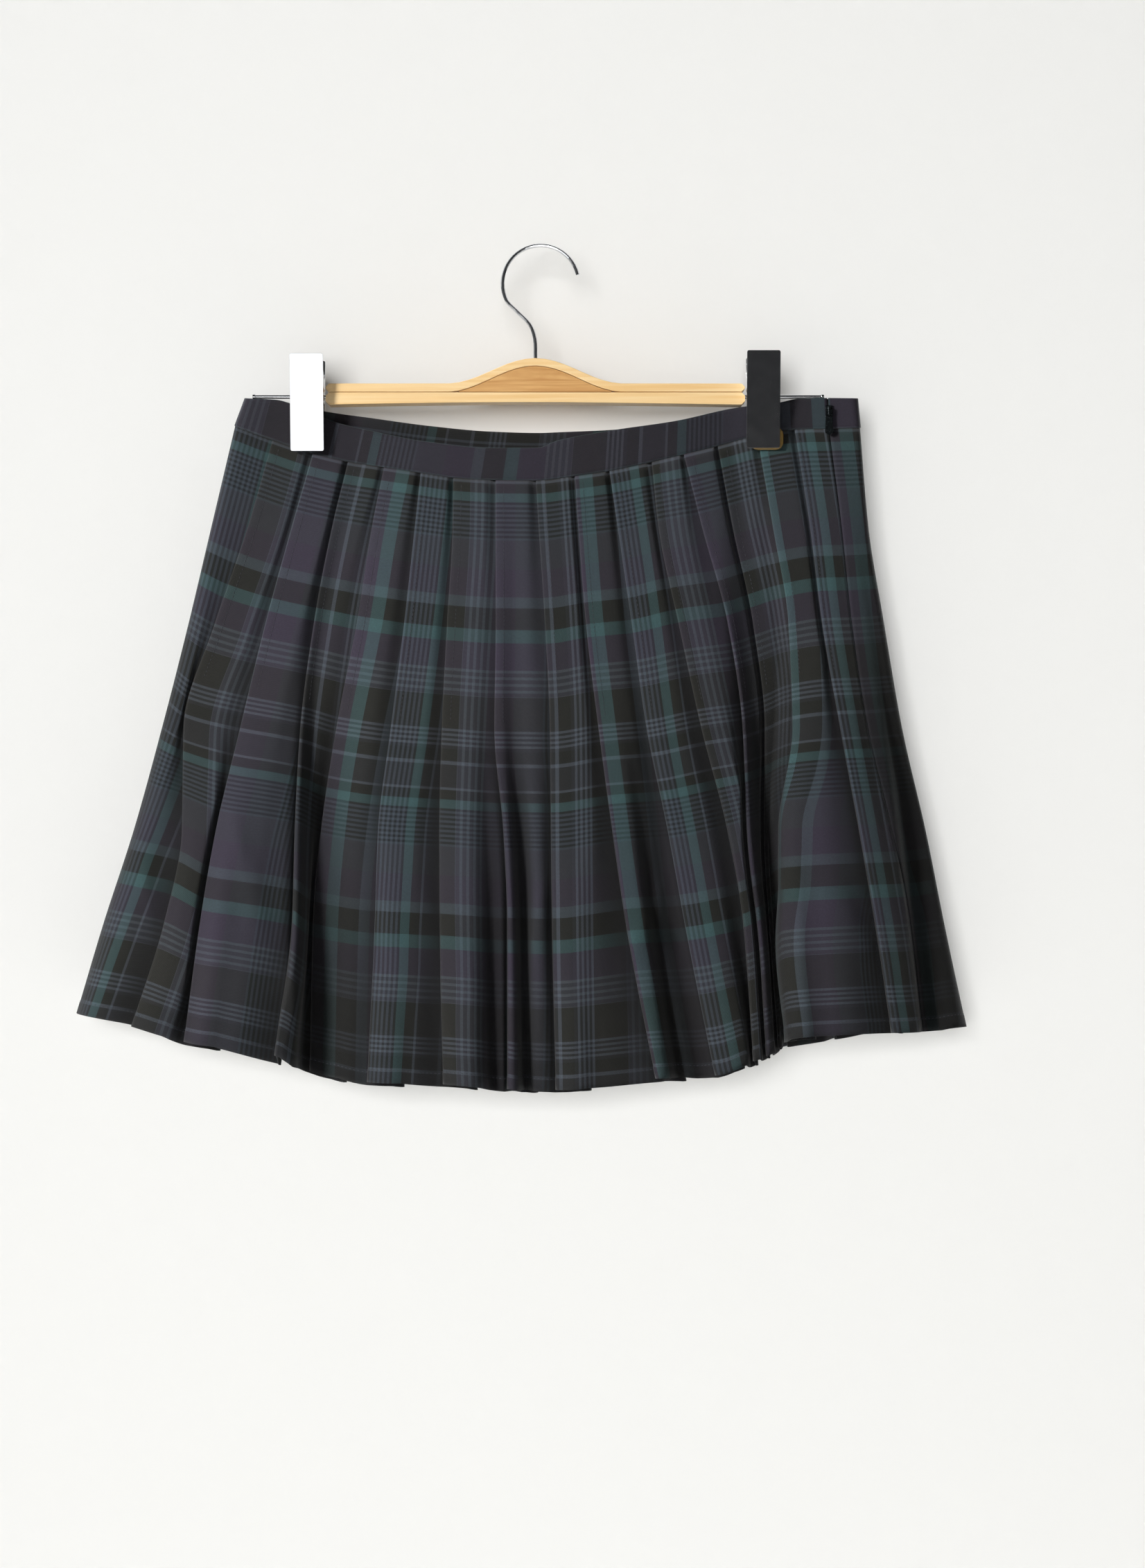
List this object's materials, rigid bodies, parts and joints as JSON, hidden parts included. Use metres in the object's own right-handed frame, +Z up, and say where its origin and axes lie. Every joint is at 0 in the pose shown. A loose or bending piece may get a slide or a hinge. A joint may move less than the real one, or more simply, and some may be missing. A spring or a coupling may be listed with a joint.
{
  "type": "mini skirt on clip hanger",
  "caption": "Plaid knife-pleated mini skirt with a straight waistband and a side zip, held by the waist in the two pinch clips of a wooden hanger.",
  "frame": {"origin": "top inside of the hanger's hook, where it rests on a rail", "axes": "+Z up, the skirt's front faces -Y, +X to the right as the front is seen, towards the zip"},
  "size_m": [0.5834, 0.0964, 0.5514],
  "materials": {
    "cloth": "woven twill plaid, matt",
    "tape": "woven tape, matt",
    "zip_metal": "dark coated metal",
    "wood": "clear satin varnish",
    "wood_filler": "clear satin varnish",
    "steel": "bright plated",
    "pad": "soft clear vinyl"
  },
  "bodies": {
    "skirt_and_hanger": {"front_panel": "cloth", "back_panel": "cloth", "waistband_front": "cloth", "waistband_back": "cloth", "zip_tape_left": "tape", "zip_tape_right": "tape", "zip_slider": "zip_metal", "bar_upper": "wood", "bar_filler": "wood_filler", "bar_lower": "wood", "rod_left": "steel", "rod_right": "steel", "hook": "steel", "clip_left_front": "steel", "clip_left_back": "steel", "clip_left_spring": "steel", "pad_left_front": "pad", "pad_left_back": "pad", "clip_right_front": "steel", "clip_right_back": "steel", "clip_right_spring": "steel", "pad_right_front": "pad", "pad_right_back": "pad"},
    "pull_tab": {"zip_pull": "zip_metal"}
  },
  "joints": [
    {"name": "pull_tab_swing", "type": "hinge", "parent": "skirt_and_hanger", "child": "pull_tab", "pos_m": [0.18858, -0.00732, -0.10869], "axis": [-1, 0, 0], "range_deg": [0, 150]}
  ]
}
